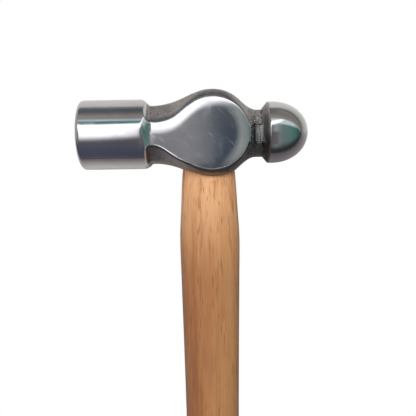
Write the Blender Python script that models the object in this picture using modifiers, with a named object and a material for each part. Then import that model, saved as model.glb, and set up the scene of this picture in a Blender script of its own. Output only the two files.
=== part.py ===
"""Ball peen hammer for metalwork: a forged steel head on a wooden handle.

The head is turned at both ends, with a round striking face and a ball, and forged to eight
flats between them. The handle's tongue fills the oval eye and is spread there by one wooden
wedge and two steel wedges across it.

The hammer lies on its side, as it rests on a bench: +X runs along the head to the ball, +Y
along the handle to the head, and +Z is up, out of the cheek. The origin is on the bench, under
the middle of the hammer's box. Every shape is drawn from the centre of the eye.
"""

import math

import bmesh
import bpy
from mathutils import Matrix, Vector

MM = 0.001
GAP = 0.3 * MM
MERGE = 0.00001

# Head, along X from the centre of the eye
FACE_X = -50.5 * MM
SHOULDER_X = -25.2 * MM
BALL_ROOT_X = 22.6 * MM
BALL_CENTRE_X = 25.0 * MM
BALL_TIP_X = 39.5 * MM
POLL_RADIUS = 13.7 * MM
BALL_RADIUS = 12.1 * MM
NECK_CORE_RADIUS = 8.0 * MM
FACE_FLAT_RADIUS = 6.0 * MM
FACE_CROWN = 0.35 * MM
FACE_EDGE_RADIUS = 1.6 * MM
CHEEK_HALF_DEPTH = 12.1 * MM
CHEEK_RADIUS = 14.4 * MM
CHEEK_X = 1.6 * MM
CHEEK_Y = -1.5 * MM
FORGING_Y = -0.5 * MM
BOSS_RADIUS = 16.4 * MM
BOSS_TOP = FORGING_Y + BOSS_RADIUS
TONGUE_HALF_HEIGHT = 5.4 * MM
POLL_NECK_HALF_HEIGHT = 10.9 * MM
BALL_NECK_HALF_HEIGHT = 8.7 * MM
BALL_NECK_HALF_DEPTH = 9.6 * MM
BALL_NECK_FLAT = 3.6 * MM

# Eye, along Y
EYE_HALF_LENGTH = 10.0 * MM
EYE_HALF_DEPTH = 6.9 * MM
EYE_FLARE_LENGTH = 0.7 * MM
EYE_FLARE_DEPTH = 0.8 * MM

# Handle and wedges, along Y
OVERALL_LENGTH = 315.0 * MM
BUTT_Y = BOSS_TOP - OVERALL_LENGTH
HANDLE_END_INSET = 0.4 * MM
KERF_BOTTOM_Y = -9.0 * MM
WOOD_WEDGE_TOP = 3.4 * MM
WOOD_WEDGE_TIP = 1.2 * MM
STEEL_WEDGE_PLACES = (-4.9 * MM, 5.7 * MM)
STEEL_WEDGE_TOP = 2.4 * MM
STEEL_WEDGE_TIP = 0.8 * MM
STEEL_WEDGE_WIDTH = 9.6 * MM
STEEL_WEDGE_TIP_Y = BOSS_TOP - 12.0 * MM
DRIVEN_SPARE = 2.0 * MM

# Handle stations: distance along Y, half width in X, half depth in Z, squareness of the oval
HANDLE_STATIONS = (
    (-15.0 * MM, 10.3 * MM, 7.2 * MM, 2.0),
    (-21.0 * MM, 11.1 * MM, 8.1 * MM, 2.0),
    (-30.0 * MM, 11.4 * MM, 9.1 * MM, 2.0),
    (-41.0 * MM, 11.8 * MM, 9.6 * MM, 2.0),
    (-58.0 * MM, 11.5 * MM, 9.4 * MM, 2.1),
    (-85.0 * MM, 10.9 * MM, 8.8 * MM, 2.1),
    (-120.0 * MM, 10.3 * MM, 8.5 * MM, 2.1),
    (-150.0 * MM, 10.4 * MM, 8.7 * MM, 2.2),
    (-190.0 * MM, 11.7 * MM, 9.7 * MM, 2.3),
    (-235.0 * MM, 13.0 * MM, 10.8 * MM, 2.3),
    (-270.0 * MM, 13.2 * MM, 11.1 * MM, 2.3),
    (BUTT_Y, 12.7 * MM, 10.7 * MM, 2.3),
)
BUTT_ROUNDING = 3.5 * MM

HEAD_RINGS = 44
HANDLE_RINGS = 46
OVAL_POINTS = 40
TURNED_STEPS = 64

# Middle of the hammer's box, from the centre of the eye
EYE_PLACE = Vector((
    -(FACE_X + BALL_TIP_X) / 2,
    -(BUTT_Y + BOSS_TOP) / 2,
    POLL_RADIUS,
))

STEEL = dict(color=(0.56, 0.57, 0.59, 1.0), roughness=0.18, metallic=1.0)
HICKORY = dict(color=(0.62, 0.38, 0.20, 1.0), roughness=0.38, metallic=0.0)
WEDGE_WOOD = dict(color=(0.70, 0.50, 0.31, 1.0), roughness=0.55, metallic=0.0)
WEDGE_STEEL = dict(color=(0.33, 0.32, 0.31, 1.0), roughness=0.45, metallic=1.0)


def clear_scene():
    for obj in list(bpy.data.objects):
        bpy.data.objects.remove(obj)


def new_collection(name):
    collection = bpy.data.collections.new(name)
    bpy.context.scene.collection.children.link(collection)
    return collection


def new_material(name, color, roughness, metallic):
    material = bpy.data.materials.new(name)
    material.use_nodes = True
    shader = material.node_tree.nodes["Principled BSDF"]
    shader.inputs["Base Color"].default_value = color
    shader.inputs["Roughness"].default_value = roughness
    shader.inputs["Metallic"].default_value = metallic
    material.diffuse_color = color
    return material


def new_object(name, bm, collection):
    mesh = bpy.data.meshes.new(name)
    bmesh.ops.recalc_face_normals(bm, faces=bm.faces)
    bm.to_mesh(mesh)
    bm.free()
    obj = bpy.data.objects.new(name, mesh)
    collection.objects.link(obj)
    return obj


def as_cutter(obj):
    obj.hide_render = True
    obj.display_type = "WIRE"
    return obj


def add_boolean(obj, operand, operation):
    modifier = obj.modifiers.new(f"{operation.lower()} {operand.name}", "BOOLEAN")
    modifier.operation = operation
    modifier.object = operand
    modifier.solver = "EXACT"


def hermite(x, start, end):
    """Height of a smooth curve between two (place, height, slope) ends."""
    (x0, y0, slope0), (x1, y1, slope1) = start, end
    run = x1 - x0
    t = min(max((x - x0) / run, 0.0), 1.0)
    rise = t * t * (3 - 2 * t)
    pull = t * (1 - t) ** 2 * slope0 - t * t * (1 - t) * slope1
    return y0 + rise * (y1 - y0) + run * pull


def arc_height(x, centre, radius):
    return math.sqrt(max(radius ** 2 - (x - centre) ** 2, 0.0))


def arc_slope(x, centre, radius):
    return -(x - centre) / arc_height(x, centre, radius)


def flank_curve(x, radius, left_end, left_leave, right_leave, right_end):
    """A round boss that runs out into a neck on each side; an end is (place, height)."""
    if x < left_leave:
        tangent = (left_leave, arc_height(left_leave, CHEEK_X, radius),
                   arc_slope(left_leave, CHEEK_X, radius))
        return hermite(x, (*left_end, 0.0), tangent)
    if x > right_leave:
        tangent = (right_leave, arc_height(right_leave, CHEEK_X, radius),
                   arc_slope(right_leave, CHEEK_X, radius))
        return hermite(x, tangent, (*right_end, 0.0))
    return arc_height(x, CHEEK_X, radius)


def boss_half_height(x):
    return flank_curve(
        x, BOSS_RADIUS,
        (-21.5 * MM, POLL_NECK_HALF_HEIGHT), -3.0 * MM,
        12.2 * MM, (19.0 * MM, BALL_NECK_HALF_HEIGHT),
    )


def cheek_half_height(x):
    return flank_curve(
        x, CHEEK_RADIUS,
        (-20.5 * MM, TONGUE_HALF_HEIGHT), -5.0 * MM,
        14.6 * MM, (17.0 * MM, BALL_NECK_FLAT),
    )


def head_half_depth(x):
    return hermite(x, (15.4 * MM, CHEEK_HALF_DEPTH, -0.35),
                   (19.0 * MM, BALL_NECK_HALF_DEPTH, 0.0))


def side_half_depth(x):
    """Half depth of the narrow flats above and below, widest around the eye."""
    neck, boss = 5.2 * MM, 9.6 * MM
    spread = math.exp(-((x - CHEEK_X) / (11.5 * MM)) ** 4)
    return neck + (boss - neck) * spread


def forged_ring(x):
    """Eight corners of the head's section at x, round from the upper cheek edge."""
    side, depth = side_half_depth(x), head_half_depth(x)
    height, cheek = boss_half_height(x), cheek_half_height(x)
    high, low = FORGING_Y + height, FORGING_Y - height
    top, bottom = CHEEK_Y + cheek, CHEEK_Y - cheek
    corners = (
        (top, depth), (bottom, depth), (low, side), (low, -side),
        (bottom, -depth), (top, -depth), (high, -side), (high, side),
    )
    return [(x, y, z) for y, z in corners]


def add_loft(bm, rings):
    """Skin a closed solid over rings with the same number of points."""
    loops = [[bm.verts.new(point) for point in ring] for ring in rings]
    count = len(loops[0])
    for first, second in zip(loops, loops[1:]):
        for i in range(count):
            j = (i + 1) % count
            bm.faces.new((first[i], first[j], second[j], second[i]))
    bm.faces.new(loops[0])
    bm.faces.new(list(reversed(loops[-1])))


def loft(name, rings, collection):
    bm = bmesh.new()
    add_loft(bm, rings)
    return new_object(name, bm, collection)


def spaced(start, end, count):
    return [start + (end - start) * i / (count - 1) for i in range(count)]


def turned(name, profile, collection):
    """A solid of revolution about X. The profile is (radius, place) from its +X end."""
    bm = bmesh.new()
    verts = [bm.verts.new((radius, 0.0, place)) for radius, place in profile]
    for first, second in zip(verts, verts[1:]):
        bm.edges.new((first, second))
    mesh = bpy.data.meshes.new(name)
    bm.to_mesh(mesh)
    bm.free()
    obj = bpy.data.objects.new(name, mesh)
    collection.objects.link(obj)
    screw = obj.modifiers.new("turn", "SCREW")
    screw.steps = TURNED_STEPS
    screw.render_steps = TURNED_STEPS
    screw.use_merge_vertices = True
    screw.merge_threshold = MERGE
    obj.rotation_euler = (0.0, math.pi / 2, 0.0)
    return obj


def poll_profile():
    """The striking end: a shallow crown, a rounded edge, a barrel and a sloped shoulder."""
    points = [(0.0, -14.0 * MM), (NECK_CORE_RADIUS, -14.0 * MM)]
    shoulder_drop = 3.4 * MM
    round_off = 1.2 * MM
    points.append((NECK_CORE_RADIUS, SHOULDER_X + POLL_RADIUS - NECK_CORE_RADIUS))
    points.append((POLL_RADIUS - shoulder_drop, SHOULDER_X + shoulder_drop))
    points.append((POLL_RADIUS - round_off, SHOULDER_X + round_off))
    points.append((POLL_RADIUS - 0.3 * round_off, SHOULDER_X))
    points.append((POLL_RADIUS, SHOULDER_X - round_off))
    edge_x = FACE_X + FACE_CROWN + FACE_EDGE_RADIUS
    for angle in spaced(0.0, math.pi / 2, 6):
        points.append((
            POLL_RADIUS - FACE_EDGE_RADIUS * (1 - math.cos(angle)),
            edge_x - FACE_EDGE_RADIUS * math.sin(angle),
        ))
    points.append((0.75 * POLL_RADIUS, FACE_X + 0.35 * FACE_CROWN))
    points.append((FACE_FLAT_RADIUS, FACE_X))
    points.append((0.0, FACE_X))
    return points


def ball_profile():
    """The ball: an oval dome that rolls over a rounded lip into the neck."""
    reach = BALL_TIP_X - BALL_CENTRE_X
    points = []
    for angle in spaced(math.pi / 2, 0.0, 16):
        points.append((
            BALL_RADIUS * math.cos(angle),
            BALL_CENTRE_X + reach * math.sin(angle),
        ))
    points.append((BALL_RADIUS - 0.15 * MM, BALL_CENTRE_X - 1.2 * MM))
    points.append((BALL_RADIUS - 0.7 * MM, BALL_ROOT_X))
    points.append((NECK_CORE_RADIUS, 19.4 * MM))
    points.append((NECK_CORE_RADIUS, 12.0 * MM))
    points.append((0.0, 12.0 * MM))
    return points


def eye_half_sizes(y):
    """The eye is waisted: it widens towards both mouths."""
    flare = ((y - FORGING_Y) / BOSS_RADIUS) ** 2
    return (EYE_HALF_LENGTH + EYE_FLARE_LENGTH * flare,
            EYE_HALF_DEPTH + EYE_FLARE_DEPTH * flare)


def oval_ring(y, half_length, half_depth, squareness):
    ring = []
    for i in range(OVAL_POINTS):
        angle = 2 * math.pi * i / OVAL_POINTS
        c, s = math.cos(angle), math.sin(angle)
        ring.append((
            math.copysign(abs(c) ** (2 / squareness), c) * half_length,
            y,
            math.copysign(abs(s) ** (2 / squareness), s) * half_depth,
        ))
    return ring


def eye_rings(bottom, top, clearance, count):
    rings = []
    for y in spaced(bottom, top, count):
        length, depth = eye_half_sizes(y)
        rings.append(oval_ring(y, length - clearance, depth - clearance, 2.2))
    return rings


def smooth_station(y):
    """Handle half width, half depth and squareness at y, eased between the stations."""
    stations = HANDLE_STATIONS
    for k in range(len(stations) - 1):
        if y >= stations[k + 1][0]:
            break
    before = stations[max(k - 1, 0)]
    start, end = stations[k], stations[k + 1]
    after = stations[min(k + 2, len(stations) - 1)]
    values = []
    for column in (1, 2, 3):
        slope0 = (end[column] - before[column]) / (end[0] - before[0])
        slope1 = (after[column] - start[column]) / (after[0] - start[0])
        values.append(hermite(y, (start[0], start[column], slope0),
                              (end[0], end[column], slope1)))
    return values


def handle_rings():
    tongue_foot = HANDLE_STATIONS[0][0]
    rings = eye_rings(tongue_foot, BOSS_TOP + DRIVEN_SPARE, GAP, 9)[::-1]
    grip_end = BUTT_Y + BUTT_ROUNDING
    for y in spaced(tongue_foot - 3 * MM, grip_end, HANDLE_RINGS):
        rings.append(oval_ring(y, *smooth_station(y)))
    half_width, half_depth, squareness = smooth_station(BUTT_Y)
    for angle in spaced(0.0, math.pi / 2, 6)[1:]:
        inset = BUTT_ROUNDING * (1 - math.cos(angle))
        y = grip_end - BUTT_ROUNDING * math.sin(angle)
        rings.append(oval_ring(y, half_width - inset, half_depth - inset, squareness))
    return rings


def wedge_rings(half_sizes, top, tip):
    """Rings of a driven wedge. half_sizes(y) gives its half length in X and half depth in Z."""
    rings = []
    for y in spaced(top, tip, 8):
        half_x, half_z = half_sizes(y)
        rings.append([(half_x, y, half_z), (-half_x, y, half_z),
                      (-half_x, y, -half_z), (half_x, y, -half_z)])
    return rings


def taper(y, wide, narrow, top, tip):
    return narrow + (wide - narrow) * (y - tip) / (top - tip)


def wood_wedge_sizes(y, clearance=0.0):
    thickness = taper(y, WOOD_WEDGE_TOP, WOOD_WEDGE_TIP, BOSS_TOP, KERF_BOTTOM_Y)
    length, _ = eye_half_sizes(y)
    return length - 2 * GAP, thickness / 2 + clearance


def steel_wedge_sizes(y, clearance=0.0):
    thickness = taper(y, STEEL_WEDGE_TOP, STEEL_WEDGE_TIP, BOSS_TOP, STEEL_WEDGE_TIP_Y)
    return thickness / 2 + clearance, STEEL_WEDGE_WIDTH / 2 + clearance


def moved(rings, offset):
    return [[tuple(Vector(point) + offset) for point in ring] for ring in rings]


def top_trim(name, inset, collection):
    """Takes off what stands above the boss, to leave an end that follows its curve."""
    reach = 2 * BOSS_RADIUS
    bm = bmesh.new()
    place = Matrix.Translation((CHEEK_X, FORGING_Y + reach / 2, 0.0))
    size = Matrix.Diagonal((2 * reach, reach, reach, 1.0))
    bmesh.ops.create_cube(bm, size=1.0, matrix=place @ size)
    block = as_cutter(new_object(name, bm, collection))
    bm = bmesh.new()
    bmesh.ops.create_cone(
        bm, cap_ends=True, segments=96, radius1=BOSS_RADIUS - inset,
        radius2=BOSS_RADIUS - inset, depth=2 * reach,
        matrix=Matrix.Translation((CHEEK_X, FORGING_Y, 0.0)),
    )
    core = as_cutter(new_object(f"{name}_core", bm, collection))
    add_boolean(block, core, "DIFFERENCE")
    return block


def make_head(parts, cutters):
    stations = spaced(SHOULDER_X + 1.0 * MM, BALL_CENTRE_X - 1.4 * MM, HEAD_RINGS)
    head = loft("head", [forged_ring(x) for x in stations], parts)
    poll = as_cutter(turned("poll_blank", poll_profile(), cutters))
    ball = as_cutter(turned("ball_blank", ball_profile(), cutters))
    reach = BOSS_RADIUS + 6 * MM
    eye = as_cutter(loft("eye_drift", eye_rings(-reach, reach, 0.0, 15), cutters))
    add_boolean(head, poll, "UNION")
    add_boolean(head, ball, "UNION")
    add_boolean(head, eye, "DIFFERENCE")
    return head


def make_handle(parts, cutters, trim):
    handle = loft("handle", handle_rings(), parts)
    above = BOSS_TOP + 2 * DRIVEN_SPARE
    kerf_sizes = lambda y: (2 * EYE_HALF_LENGTH, wood_wedge_sizes(y, GAP)[1])
    kerf = as_cutter(loft("kerf", wedge_rings(kerf_sizes, above, KERF_BOTTOM_Y - GAP), cutters))
    add_boolean(handle, kerf, "DIFFERENCE")
    add_boolean(handle, trim, "DIFFERENCE")
    return handle


def make_wooden_wedge(parts, trim):
    top = BOSS_TOP + DRIVEN_SPARE
    wedge = loft("wooden_wedge", wedge_rings(wood_wedge_sizes, top, KERF_BOTTOM_Y), parts)
    add_boolean(wedge, trim, "DIFFERENCE")
    return wedge


def make_steel_wedge(number, x, parts, cutters, trim):
    top, tip = BOSS_TOP + DRIVEN_SPARE, STEEL_WEDGE_TIP_Y
    offset = Vector((x, 0.0, 0.0))
    wedge = loft(f"steel_wedge_{number}",
                 moved(wedge_rings(steel_wedge_sizes, top, tip), offset), parts)
    add_boolean(wedge, trim, "DIFFERENCE")
    slot_sizes = lambda y: steel_wedge_sizes(y, GAP)
    slot = as_cutter(loft(f"wedge_slot_{number}",
                          moved(wedge_rings(slot_sizes, top + GAP, tip - GAP), offset), cutters))
    return wedge, slot


def finish(obj, material, parent):
    obj.data.materials.append(new_material(obj.name, **material))
    obj.data.shade_smooth()
    obj.data.set_sharp_from_angle(angle=math.radians(35))
    obj.parent = parent


def main():
    clear_scene()
    parts = new_collection("ball_peen_hammer")
    cutters = new_collection("cutters")
    eye_centre = bpy.data.objects.new("eye_centre", None)
    eye_centre.location = EYE_PLACE
    parts.objects.link(eye_centre)

    trim = top_trim("top_trim", HANDLE_END_INSET, cutters)
    head = make_head(parts, cutters)
    handle = make_handle(parts, cutters, trim)
    wooden_wedge = make_wooden_wedge(parts, trim)
    finish(head, STEEL, eye_centre)
    finish(handle, HICKORY, eye_centre)
    finish(wooden_wedge, WEDGE_WOOD, eye_centre)
    for number, x in enumerate(STEEL_WEDGE_PLACES, start=1):
        wedge, slot = make_steel_wedge(number, x, parts, cutters, trim)
        add_boolean(handle, slot, "DIFFERENCE")
        add_boolean(wooden_wedge, slot, "DIFFERENCE")
        finish(wedge, WEDGE_STEEL, eye_centre)
    for cutter in cutters.objects:
        cutter.parent = eye_centre


main()
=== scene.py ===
"""Ball peen hammer: the finished look of its head, handle and wedges.

Laid out as an add-on and run as a script. Each piece has an operator that builds it round the
CAD frame and gives it its finish; the stage operator sets the bench, the light and the camera.
"""

import math

import bmesh
import bpy
import numpy as np
from bpy.props import FloatProperty, FloatVectorProperty, PointerProperty
from mathutils import Matrix, Vector


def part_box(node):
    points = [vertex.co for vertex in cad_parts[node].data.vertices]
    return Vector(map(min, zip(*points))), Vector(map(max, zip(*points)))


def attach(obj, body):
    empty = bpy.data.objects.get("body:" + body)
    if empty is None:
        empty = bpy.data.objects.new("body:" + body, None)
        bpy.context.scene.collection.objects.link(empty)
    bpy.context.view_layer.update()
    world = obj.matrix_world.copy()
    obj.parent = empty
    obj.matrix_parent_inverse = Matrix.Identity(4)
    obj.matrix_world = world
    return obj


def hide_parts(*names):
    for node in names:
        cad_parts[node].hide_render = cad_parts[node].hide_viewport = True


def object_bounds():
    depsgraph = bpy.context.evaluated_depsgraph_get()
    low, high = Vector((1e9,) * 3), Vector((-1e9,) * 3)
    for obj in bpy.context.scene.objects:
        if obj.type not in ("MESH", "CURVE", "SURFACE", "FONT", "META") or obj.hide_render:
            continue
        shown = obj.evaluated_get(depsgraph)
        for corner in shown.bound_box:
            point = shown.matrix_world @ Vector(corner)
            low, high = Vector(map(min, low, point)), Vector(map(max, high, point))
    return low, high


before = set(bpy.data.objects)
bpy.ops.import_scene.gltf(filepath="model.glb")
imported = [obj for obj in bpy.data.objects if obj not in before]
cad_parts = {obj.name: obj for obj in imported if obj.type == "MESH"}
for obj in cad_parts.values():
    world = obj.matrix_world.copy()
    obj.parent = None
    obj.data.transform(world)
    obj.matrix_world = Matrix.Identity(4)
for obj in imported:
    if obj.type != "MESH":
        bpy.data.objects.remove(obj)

bl_info = {
    "name": "Ball peen hammer",
    "version": (1, 0, 0),
    "blender": (4, 5, 0),
    "location": "View3D > Sidebar > Hammer",
    "description": "Builds a ball peen hammer's polished head, wooden handle and wedges",
    "category": "Add Mesh",
}

MM = 0.001
CAD_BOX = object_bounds()
HEAD_LOW, HEAD_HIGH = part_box("head")
HANDLE_LOW, HANDLE_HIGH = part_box("handle")
POLL_RADIUS = (HEAD_HIGH.z - HEAD_LOW.z) / 2
BOSS_RADIUS = 16.4 * MM
FORGING_Y = -0.5 * MM
EYE_CENTRE = Vector((
    (HANDLE_LOW.x + HANDLE_HIGH.x) / 2,
    HEAD_HIGH.y - BOSS_RADIUS - FORGING_Y,
    (HEAD_LOW.z + HEAD_HIGH.z) / 2,
))

# From here on, places on the hammer are measured from the centre of the eye.
FACE_X = HEAD_LOW.x - EYE_CENTRE.x
BALL_TIP_X = HEAD_HIGH.x - EYE_CENTRE.x
BOSS_TOP = FORGING_Y + BOSS_RADIUS
BUTT_Y = HANDLE_LOW.y - EYE_CENTRE.y
END_INSET = HEAD_HIGH.y - HANDLE_HIGH.y
GAP = 0.3 * MM


# ---------------------------------------------------------------- sizes and colours

class HeadSettings(bpy.types.PropertyGroup):
    poll_radius: FloatProperty(
        name="Poll radius", description="Radius of the striking end's barrel",
        default=POLL_RADIUS, min=0.005, unit="LENGTH")
    face_edge: FloatProperty(
        name="Face edge", description="Radius that breaks the edge of the striking face",
        default=1.6 * MM, min=0.0, unit="LENGTH")
    face_crown: FloatProperty(
        name="Face crown", description="How far the striking face stands proud in the middle",
        default=0.35 * MM, min=0.0, unit="LENGTH")
    ball_radius: FloatProperty(
        name="Ball radius", description="Radius of the ball across the head",
        default=12.1 * MM, min=0.005, unit="LENGTH")
    cheek_depth: FloatProperty(
        name="Cheek depth", description="Distance from the head's middle to a ground cheek",
        default=12.1 * MM, min=0.005, unit="LENGTH")
    cheek_crown: FloatProperty(
        name="Cheek crown", description="How far polishing rounds the cheek down at its rim",
        default=0.34 * MM, min=0.0, unit="LENGTH")
    polished_color: FloatVectorProperty(
        name="Polished steel", description="Reflection colour of the polished steel",
        default=(0.60, 0.60, 0.61), size=3, min=0.0, max=1.0, subtype="COLOR")
    forged_color: FloatVectorProperty(
        name="Forged skin", description="Reflection colour of the unpolished forging",
        default=(0.42, 0.405, 0.41), size=3, min=0.0, max=1.0, subtype="COLOR")


class HandleSettings(bpy.types.PropertyGroup):
    wood_light: FloatVectorProperty(
        name="Light wood", description="Colour of the pale growth",
        default=(0.42, 0.185, 0.075), size=3, min=0.0, max=1.0, subtype="COLOR")
    wood_dark: FloatVectorProperty(
        name="Dark wood", description="Colour of the darker growth",
        default=(0.27, 0.105, 0.038), size=3, min=0.0, max=1.0, subtype="COLOR")
    # Colour of the wood right of the handle's middle, paler and yellower
    sapwood: FloatVectorProperty(
        name="Sapwood", description="Colour of the paler, yellower side",
        default=(0.56, 0.285, 0.12), size=3, min=0.0, max=1.0, subtype="COLOR")
    # Colour of the wood left of the handle's middle from the grip down, darker and redder
    heartwood: FloatVectorProperty(
        name="Heartwood", description="Colour of the darker, redder side",
        default=(0.34, 0.155, 0.085), size=3, min=0.0, max=1.0, subtype="COLOR")
    # The wood by the head is lighter partly from its own paler colour and partly from painted
    # light; these two colours carry both
    fresh_light: FloatVectorProperty(
        name="Light wood by the head", description="Colour of the pale growth by the head",
        default=(0.80, 0.45, 0.235), size=3, min=0.0, max=1.0, subtype="COLOR")
    fresh_dark: FloatVectorProperty(
        name="Dark wood by the head", description="Colour of the darker growth by the head",
        default=(0.68, 0.33, 0.15), size=3, min=0.0, max=1.0, subtype="COLOR")
    fleck_color: FloatVectorProperty(
        name="Flecks", description="Colour of the short brown flecks in the grain",
        default=(0.36, 0.135, 0.04), size=3, min=0.0, max=1.0, subtype="COLOR")
    pore_color: FloatVectorProperty(
        name="Pores", description="Colour of the open pores",
        default=(0.25, 0.09, 0.028), size=3, min=0.0, max=1.0, subtype="COLOR")
    butt_rounding: FloatProperty(
        name="Butt rounding", description="Radius round the end of the handle",
        default=3.5 * MM, min=0.0, unit="LENGTH")


class StageSettings(bpy.types.PropertyGroup):
    camera_height: FloatProperty(
        name="Camera height", description="Distance of the camera above the head's middle",
        default=209.3 * MM, min=0.05, unit="LENGTH")
    camera_view: FloatProperty(
        name="View angle", description="Angle that the picture takes in",
        default=math.radians(43.23), min=0.1, max=2.0, unit="ROTATION")
    camera_roll: FloatProperty(
        name="Camera roll", description="Turn of the camera about its own view",
        default=math.radians(-0.95), unit="ROTATION")
    lamp_power: FloatProperty(
        name="Lamp power", description="Power of the lamp that fills the wood and the bench",
        default=1.3, min=0.0, unit="POWER")
    grip_lamp_power: FloatProperty(
        name="Grip lamp power", description="Power of the small lamp by the end of the handle",
        default=0.25, min=0.0, unit="POWER")
    bench_color: FloatVectorProperty(
        name="Bench", description="Colour of the bench under the hammer",
        default=(0.74, 0.71, 0.68), size=3, min=0.0, max=1.0, subtype="COLOR")


# ---------------------------------------------------------------- shader building

class Paint:
    """Adds nodes to one node tree."""

    def __init__(self, tree):
        self.tree = tree
        tree.nodes.clear()

    def node(self, kind, settings=None, output=0, **sockets):
        """A node of any type: its settings are set first, then its sockets' values or links."""
        made = self.tree.nodes.new(kind)
        for name, value in (settings or {}).items():
            if name == "stops":
                set_stops(made.color_ramp, value)
            else:
                setattr(made, name, value)
        for name, value in sockets.items():
            self.feed(find_socket(made.inputs, name), value)
        if output is None:
            return made
        return Wire(self, find_socket(made.outputs, output))

    def feed(self, socket, value):
        if isinstance(value, Wire):
            self.tree.links.new(value.socket, socket)
        elif socket.type == "RGBA" and len(value) == 3:
            socket.default_value = (*value, 1.0)
        else:
            socket.default_value = value

    def mix(self, factor, first, second):
        """first where factor is 0 and second where it is 1."""
        return self.node("ShaderNodeMix", {"data_type": "RGBA"}, output="Result_Color",
                         Factor_Float=factor, A_Color=first, B_Color=second)

    def noise(self, vector, scale, detail, roughness, distortion=0.0):
        return self.node("ShaderNodeTexNoise", output="Fac", Vector=vector, Scale=scale,
                         Detail=detail, Roughness=roughness, Distortion=distortion)

    def grain(self, vector, scales, detail, roughness, distortion=0.0):
        """Noise with a scale of its own along each axis."""
        stretched = self.node("ShaderNodeVectorMath", {"operation": "MULTIPLY"},
                              **{"0": vector, "1": scales})
        return self.noise(stretched, 1.0, detail, roughness, distortion)

    def relief(self, height):
        """A normal for a surface that stands this many metres proud."""
        return self.node("ShaderNodeBump", Height=height, Strength=1.0, Distance=1.0)

    def parts(self, vector):
        split = self.node("ShaderNodeSeparateXYZ", output=None, Vector=vector)
        return [Wire(self, split.outputs[axis]) for axis in "XYZ"]


class Wire:
    """A socket that takes part in Python arithmetic, one Math node for each operation."""

    def __init__(self, paint, socket):
        self.paint = paint
        self.socket = socket

    def math(self, operation, *others):
        inputs = {str(i): value for i, value in enumerate((self, *others))}
        return self.paint.node("ShaderNodeMath", {"operation": operation}, **inputs)

    def reflected(self, operation, other):
        inputs = {"0": other, "1": self}
        return self.paint.node("ShaderNodeMath", {"operation": operation}, **inputs)

    def __add__(self, other):
        return self.math("ADD", other)

    __radd__ = __add__

    def __sub__(self, other):
        return self.math("SUBTRACT", other)

    def __rsub__(self, other):
        return self.reflected("SUBTRACT", other)

    def __mul__(self, other):
        return self.math("MULTIPLY", other)

    __rmul__ = __mul__

    def __truediv__(self, other):
        return self.math("DIVIDE", other)

    def __rtruediv__(self, other):
        return self.reflected("DIVIDE", other)

    def __abs__(self):
        return self.math("ABSOLUTE")

    def step(self, low, high):
        """0 below low and 1 above high, eased between."""
        return self.paint.node("ShaderNodeMapRange", {"interpolation_type": "SMOOTHSTEP"},
                               Value=self, **{"From Min": low, "From Max": high})

    def band(self, low, high, soft):
        """1 between low and high and 0 outside them, eased over soft on each side."""
        return self.step(low - soft, low + soft) * (1 - self.step(high - soft, high + soft))


def find_socket(sockets, name):
    if isinstance(name, int) or name.isdigit():
        return sockets[int(name)]
    for socket in sockets:
        if name in (socket.identifier, socket.name):
            return socket
    raise KeyError(f"no socket {name}")


def set_stops(ramp, stops):
    ramp.interpolation = "EASE"
    while len(ramp.elements) < len(stops):
        ramp.elements.new(1.0)
    for element, (place, color) in zip(ramp.elements, stops):
        element.position = place
        element.color = (*color, 1.0)


def new_material(name):
    material = bpy.data.materials.new(name)
    material.use_nodes = True
    return material, Paint(material.node_tree)


def finish_material(paint, shader):
    paint.node("ShaderNodeOutputMaterial", output=None, Surface=shader)


def places_from_eye(paint):
    """The place of a point, and how far it is to the right of the eye's centre and above it."""
    place = paint.node("ShaderNodeTexCoord", output="Object")
    x, y = paint.parts(place)[:2]
    return place, x - EYE_CENTRE.x, y - EYE_CENTRE.y


# ---------------------------------------------------------------- curves and meshes

def hermite(x, start, end):
    """Height of a smooth curve between two (place, height, slope) ends; x may be an array."""
    (x0, y0, slope0), (x1, y1, slope1) = start, end
    run = x1 - x0
    t = np.clip((x - x0) / run, 0.0, 1.0)
    rise = t * t * (3 - 2 * t)
    pull = t * (1 - t) ** 2 * slope0 - t * t * (1 - t) * slope1
    return y0 + rise * (y1 - y0) + run * pull


def eased(x, low, high):
    t = np.clip((x - low) / (high - low), 0.0, 1.0)
    return t * t * (3 - 2 * t)


def soft_ramp(x, softness):
    """Zero below 0 and x above it, with a rounded corner."""
    return softness * np.logaddexp(0.0, x / softness)


def mesh_object(name, verts, faces, smooth_angle=None):
    mesh = bpy.data.meshes.new(name)
    mesh.from_pydata([tuple(v) for v in verts], [], faces)
    mesh.validate()
    obj = bpy.data.objects.new(name, mesh)
    bpy.context.scene.collection.objects.link(obj)
    bm = bmesh.new()
    bm.from_mesh(mesh)
    bmesh.ops.recalc_face_normals(bm, faces=bm.faces)
    bm.to_mesh(mesh)
    bm.free()
    mesh.shade_smooth()
    if smooth_angle is not None:
        mesh.set_sharp_from_angle(angle=smooth_angle)
    return obj


def bmesh_object(name, bm):
    """Turns a finished bmesh into an object and frees it."""
    mesh = bpy.data.meshes.new(name)
    bm.to_mesh(mesh)
    bm.free()
    obj = bpy.data.objects.new(name, mesh)
    bpy.context.scene.collection.objects.link(obj)
    return obj


def ring_faces(ring_count, points):
    faces = []
    for ring in range(ring_count - 1):
        a, b = ring * points, (ring + 1) * points
        for i in range(points):
            j = (i + 1) % points
            faces.append((a + i, a + j, b + j, b + i))
    return faces


def cut(obj, cutters):
    """Cuts obj and leaves the result as its own mesh; the cutters are removed."""
    for cutter in cutters:
        modifier = obj.modifiers.new(cutter.name, "BOOLEAN")
        modifier.operation = "DIFFERENCE"
        modifier.solver = "EXACT"
        modifier.object = cutter
    graph = bpy.context.evaluated_depsgraph_get()
    mesh = bpy.data.meshes.new_from_object(obj.evaluated_get(graph))
    obj.modifiers.clear()
    old = obj.data
    obj.data = mesh
    bpy.data.meshes.remove(old)
    for cutter in cutters:
        bpy.data.objects.remove(cutter)


# ---------------------------------------------------------------- the head's shape

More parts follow.
